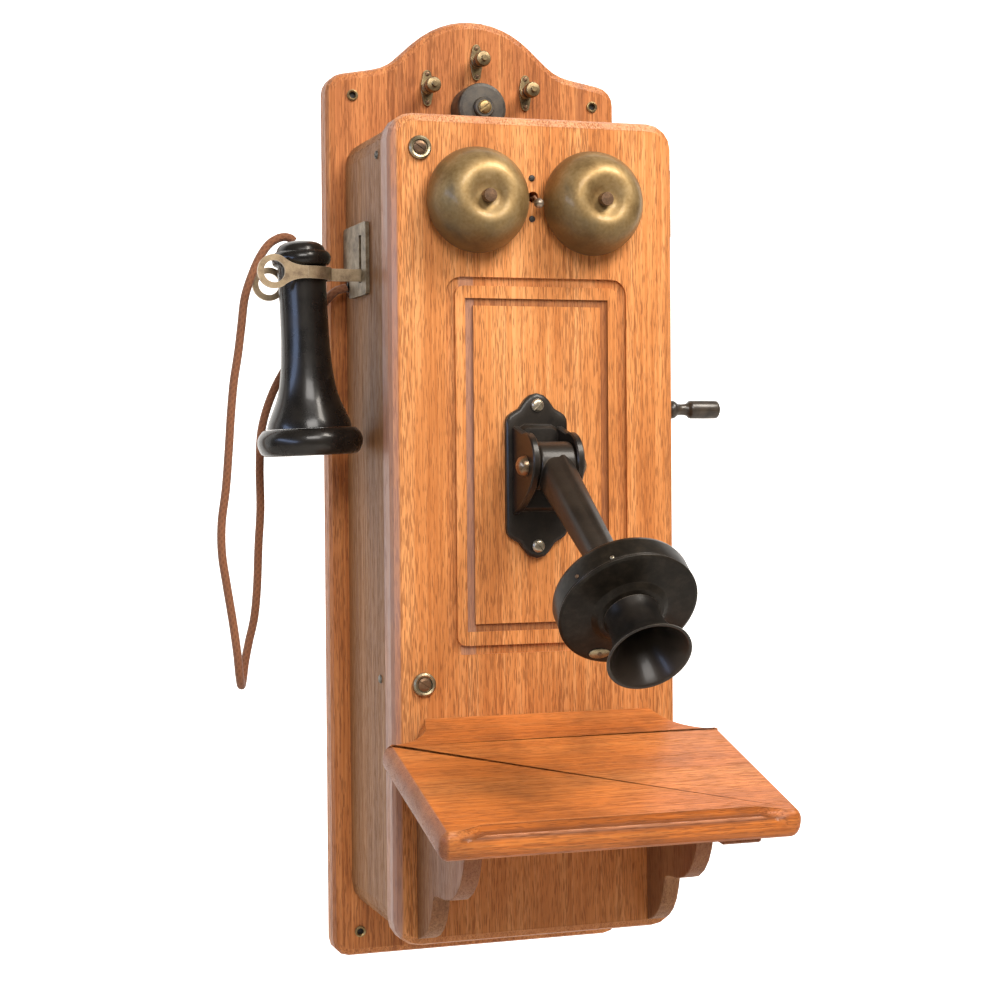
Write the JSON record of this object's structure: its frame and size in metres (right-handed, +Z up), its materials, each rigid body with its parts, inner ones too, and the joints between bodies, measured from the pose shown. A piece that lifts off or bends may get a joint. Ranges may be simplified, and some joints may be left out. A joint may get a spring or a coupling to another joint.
{
  "type": "wall crank telephone",
  "caption": "Oak magneto wall telephone with outside gongs, tilting transmitter, hung receiver on a forked hook, sloping writing shelf and side crank.",
  "frame": {"origin": "on the backboard's back face, on its centre line, level with the middle of the transmitter bracket", "axes": "+X to the right seen from the front, -Y out of the wall towards the user, +Z up"},
  "size_m": [0.3837, 0.3729, 0.7032],
  "materials": {
    "oak_door": "varnished golden oak, open grain",
    "oak_case": "varnished oak, worn and dulled",
    "oak_board": "varnished oak, wide grain",
    "gong_brass": "aged polished brass",
    "black_japan": "black japanned, worn at edges",
    "hard_rubber": "polished hard rubber",
    "nickel": "worn nickel plate",
    "brass": "aged brass",
    "steel": "dull steel",
    "cast_iron": "blackened iron",
    "coil_winding": "green cotton-covered wire",
    "cell_card": "printed card sleeve",
    "grip_wood": "ebonised hardwood",
    "cord_cloth": "brown braided cotton"
  },
  "bodies": {
    "case": {"backboard": "oak_board", "case_left": "oak_case", "case_right": "oak_case", "case_top": "oak_case", "case_bottom": "oak_case", "binding_post_left": "brass", "binding_post_centre": "brass", "binding_post_right": "brass", "arrester_cap": "hard_rubber", "hook_escutcheon": "steel", "crank_bushing": "brass", "magneto_frame": "cast_iron", "magneto_magnet_left": "cast_iron", "magneto_magnet_right": "cast_iron", "induction_coil": "coil_winding", "dry_cell_left": "cell_card", "dry_cell_right": "cell_card", "hook_switch": "steel", "hinge_case_leaf_upper": "brass", "hinge_case_leaf_lower": "brass", "hinge_pin_upper": "brass", "hinge_pin_lower": "brass", "cord_bushing": "hard_rubber", "door_screw_lug_upper": "steel", "door_screw_lug_lower": "steel", "receiver_cord": "cord_cloth"},
    "door": {"door": "oak_door", "hinge_door_leaf_upper": "brass", "hinge_door_leaf_lower": "brass", "door_screw_upper": "brass", "door_screw_lower": "brass", "door_screw_cup_upper": "nickel", "door_screw_cup_lower": "nickel", "gong_left": "gong_brass", "gong_right": "gong_brass", "gong_post_left": "brass", "gong_post_right": "brass", "ringer_frame": "steel", "ringer_coil_left": "coil_winding", "ringer_coil_right": "coil_winding", "writing_shelf": "oak_door", "shelf_bracket_left": "oak_case", "shelf_bracket_right": "oak_case", "transmitter_base": "black_japan", "transmitter_base_screw_top": "nickel", "transmitter_base_screw_bottom": "nickel", "transmitter_pivot_bolt": "brass"},
    "clapper": {"clapper": "steel"},
    "transmitter": {"transmitter_arm": "black_japan", "transmitter_cup": "black_japan", "transmitter_face": "black_japan", "mouthpiece": "hard_rubber"},
    "hook": {"hook_lever": "nickel"},
    "receiver": {"receiver_body": "hard_rubber", "receiver_ear_cap": "hard_rubber"},
    "crank": {"crank_shaft": "steel", "crank_arm": "steel", "drive_gear": "brass"},
    "grip": {"crank_grip": "grip_wood"},
    "armature": {"magneto_armature": "steel"}
  },
  "joints": [
    {"name": "door_hinge", "type": "hinge", "parent": "case", "child": "door", "pos_m": [0.1085, -0.1335, 0], "axis": [0, 0, 1], "range_deg": [0, 100]},
    {"name": "clapper_swing", "type": "hinge", "parent": "door", "child": "clapper", "pos_m": [-0.001, -0.096, 0.194], "axis": [0, 0, 1], "range_deg": [-1.2, 1.2]},
    {"name": "transmitter_tilt", "type": "hinge", "parent": "door", "child": "transmitter", "pos_m": [-0.001, -0.187, 0.007], "axis": [1, 0, 0], "range_deg": [-35, 22]},
    {"name": "receiver_lift", "type": "slide", "parent": "case", "child": "receiver", "axis": [-0.866, 0, 0.5], "range_m": [0, 0.12], "deforming": ["receiver_cord"]},
    {"name": "hook_swing", "type": "hinge", "parent": "case", "child": "hook", "pos_m": [-0.06, -0.0715, 0.1444], "axis": [0, 1, 0], "range_deg": [0, 12.5]},
    {"name": "crank_turn", "type": "hinge", "parent": "case", "child": "crank", "pos_m": [0, -0.075, 0.093], "axis": [1, 0, 0], "continuous": true},
    {"name": "grip_spin", "type": "hinge", "parent": "crank", "child": "grip", "pos_m": [0, -0.075, 0.048], "axis": [1, 0, 0], "continuous": true},
    {"name": "armature_spin", "type": "hinge", "parent": "case", "child": "armature", "pos_m": [0, -0.075, 0.0604], "axis": [1, 0, 0], "continuous": true}
  ],
  "couplings": [
    {"joint": "armature_spin", "follows": "crank_turn", "ratio": -5},
    {"joint": "hook_swing", "follows": "receiver_lift", "rad_per_m": 1.75}
  ]
}
